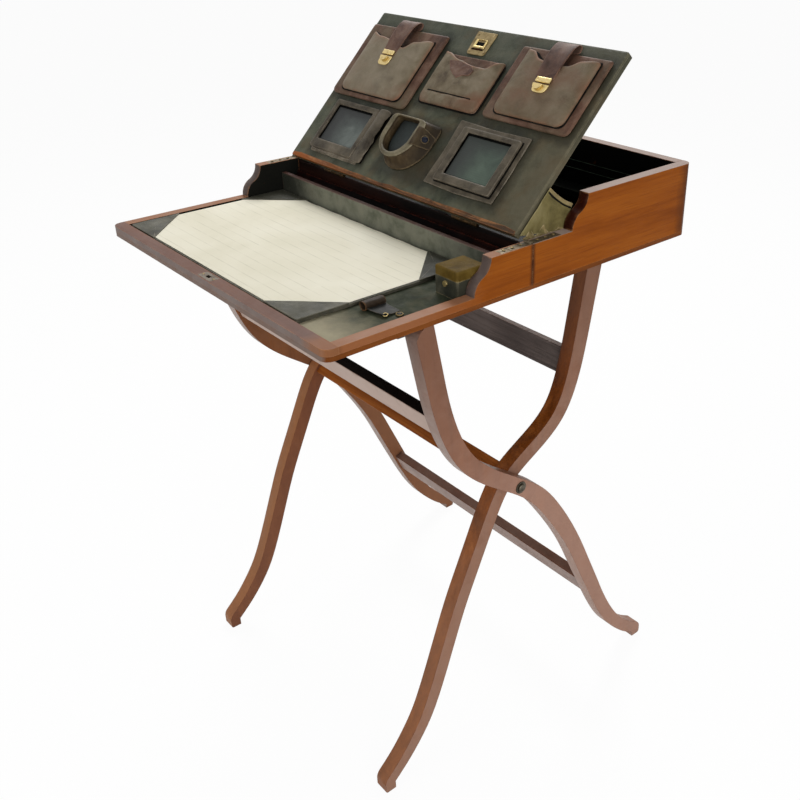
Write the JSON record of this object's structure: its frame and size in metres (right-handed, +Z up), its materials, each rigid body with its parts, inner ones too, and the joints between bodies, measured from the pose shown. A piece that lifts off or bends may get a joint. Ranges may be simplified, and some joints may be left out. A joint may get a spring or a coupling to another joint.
{
  "type": "campaign desk",
  "caption": "Folding portable writing desk: hinged flap with blotter, sloping leather stationery panel, lock, inkwell and crossed curved folding legs.",
  "frame": {"origin": "on the floor under the middle of the seam between the flap and the case", "axes": "+X to the writer's right, +Y from the writer to the back of the case, +Z up"},
  "size_m": [0.546, 0.608, 1.0045],
  "materials": {
    "mahogany": "worn satin polish",
    "dark_wood": "dark stained",
    "board": "bare",
    "green_leather": "worn matt",
    "brown_leather": "worn satin",
    "brass": "aged",
    "paper": "matt",
    "card": "matt",
    "glass": "clear",
    "steel": "aged"
  },
  "bodies": {
    "case": {"case_bottom": "dark_wood", "case_left_side": "mahogany", "case_right_side": "mahogany", "case_back": "dark_wood", "case_front_rail": "dark_wood", "panel_rest_ledge": "dark_wood", "lock_link_plate": "brass", "flap_hinge_case_leaves": "brass", "panel_hinge_case_leaves": "brass", "gusset_left": "brown_leather", "gusset_right": "brown_leather", "leg_cleats": "dark_wood", "leg_hinge_pins": "steel"},
    "flap": {"flap_board": "dark_wood", "flap_front_rail": "mahogany", "flap_left_side": "mahogany", "flap_right_side": "mahogany", "flap_lining": "green_leather", "flap_cross_rail": "dark_wood", "pen_tray": "dark_wood", "blotter_board": "board", "blotter_paper": "paper", "blotter_corners": "green_leather", "pen_loop": "brown_leather", "inkwell_body": "brown_leather", "inkwell_bottle": "glass", "inkwell_lid": "brown_leather", "lock": "brass", "flap_hinge_flap_leaves": "brass", "leg_stops": "dark_wood"},
    "inkwell_button": {"inkwell_button": "brass"},
    "lock_bolt": {"lock_bolt": "brass"},
    "panel": {"panel_board": "board", "panel_cover": "green_leather", "wallet_left": "brown_leather", "wallet_left_strap": "brown_leather", "wallet_right": "brown_leather", "wallet_right_strap": "brown_leather", "wallet_clasp_plates": "brass", "centre_pocket": "brown_leather", "photo_frame_left": "brown_leather", "photo_frame_right": "brown_leather", "photo_inserts": "card", "watch_holder": "brown_leather", "finger_plate": "brass", "panel_hinge_panel_leaves": "brass", "prop_bracket": "brass"},
    "clasp_left": {"clasp_left_thumb": "brass"},
    "clasp_right": {"clasp_right_thumb": "brass"},
    "prop": {"panel_prop": "dark_wood"},
    "inner_stand": {"inner_leg_left": "mahogany", "inner_leg_right": "mahogany", "inner_upper_stretcher": "dark_wood", "inner_middle_stretcher": "mahogany", "pivot_bolts": "steel"},
    "outer_stand": {"outer_leg_left": "mahogany", "outer_leg_right": "mahogany", "outer_upper_stretcher": "mahogany", "outer_lower_stretcher": "mahogany"}
  },
  "joints": [
    {"name": "flap_hinge", "type": "hinge", "parent": "case", "child": "flap", "pos_m": [0, 0, 0.804], "axis": [-1, 0, 0], "range_deg": [0, 180]},
    {"name": "panel_hinge", "type": "hinge", "parent": "case", "child": "panel", "pos_m": [0, -0.003, 0.8035], "axis": [-1, 0, 0], "range_deg": [0, 51], "deforming": ["gusset_left", "gusset_right"]},
    {"name": "prop_hinge", "type": "hinge", "parent": "panel", "child": "prop", "pos_m": [0, 0.06969, 0.87223], "axis": [1, 0, 0], "range_deg": [0, 101.64]},
    {"name": "inner_stand_hinge", "type": "hinge", "parent": "case", "child": "inner_stand", "pos_m": [0, 0.144, 0.737], "axis": [1, 0, 0], "range_deg": [0, 25]},
    {"name": "stand_pivot", "type": "hinge", "parent": "inner_stand", "child": "outer_stand", "pos_m": [0, -0.008, 0.45], "axis": [1, 0, 0], "range_deg": [-50, 0]},
    {"name": "inkwell_button_press", "type": "slide", "parent": "flap", "child": "inkwell_button", "axis": [0, 1, 0], "range_m": [0, 0.0015], "stiffness_N_per_m": 400, "springref_m": -0.002},
    {"name": "lock_bolt_throw", "type": "slide", "parent": "flap", "child": "lock_bolt", "axis": [1, 0, 0], "range_m": [0, 0.006]},
    {"name": "clasp_left_slide", "type": "slide", "parent": "panel", "child": "clasp_left", "axis": [0, 0.7071, 0.7071], "range_m": [0, 0.003]},
    {"name": "clasp_right_slide", "type": "slide", "parent": "panel", "child": "clasp_right", "axis": [0, 0.7071, 0.7071], "range_m": [0, 0.003]}
  ],
  "couplings": [
    {"joint": "panel_hinge", "follows": "flap_hinge", "ratio": 0.28333},
    {"joint": "prop_hinge", "follows": "flap_hinge", "ratio": 0.56466},
    {"joint": "stand_pivot", "follows": "inner_stand_hinge", "ratio": -2}
  ]
}
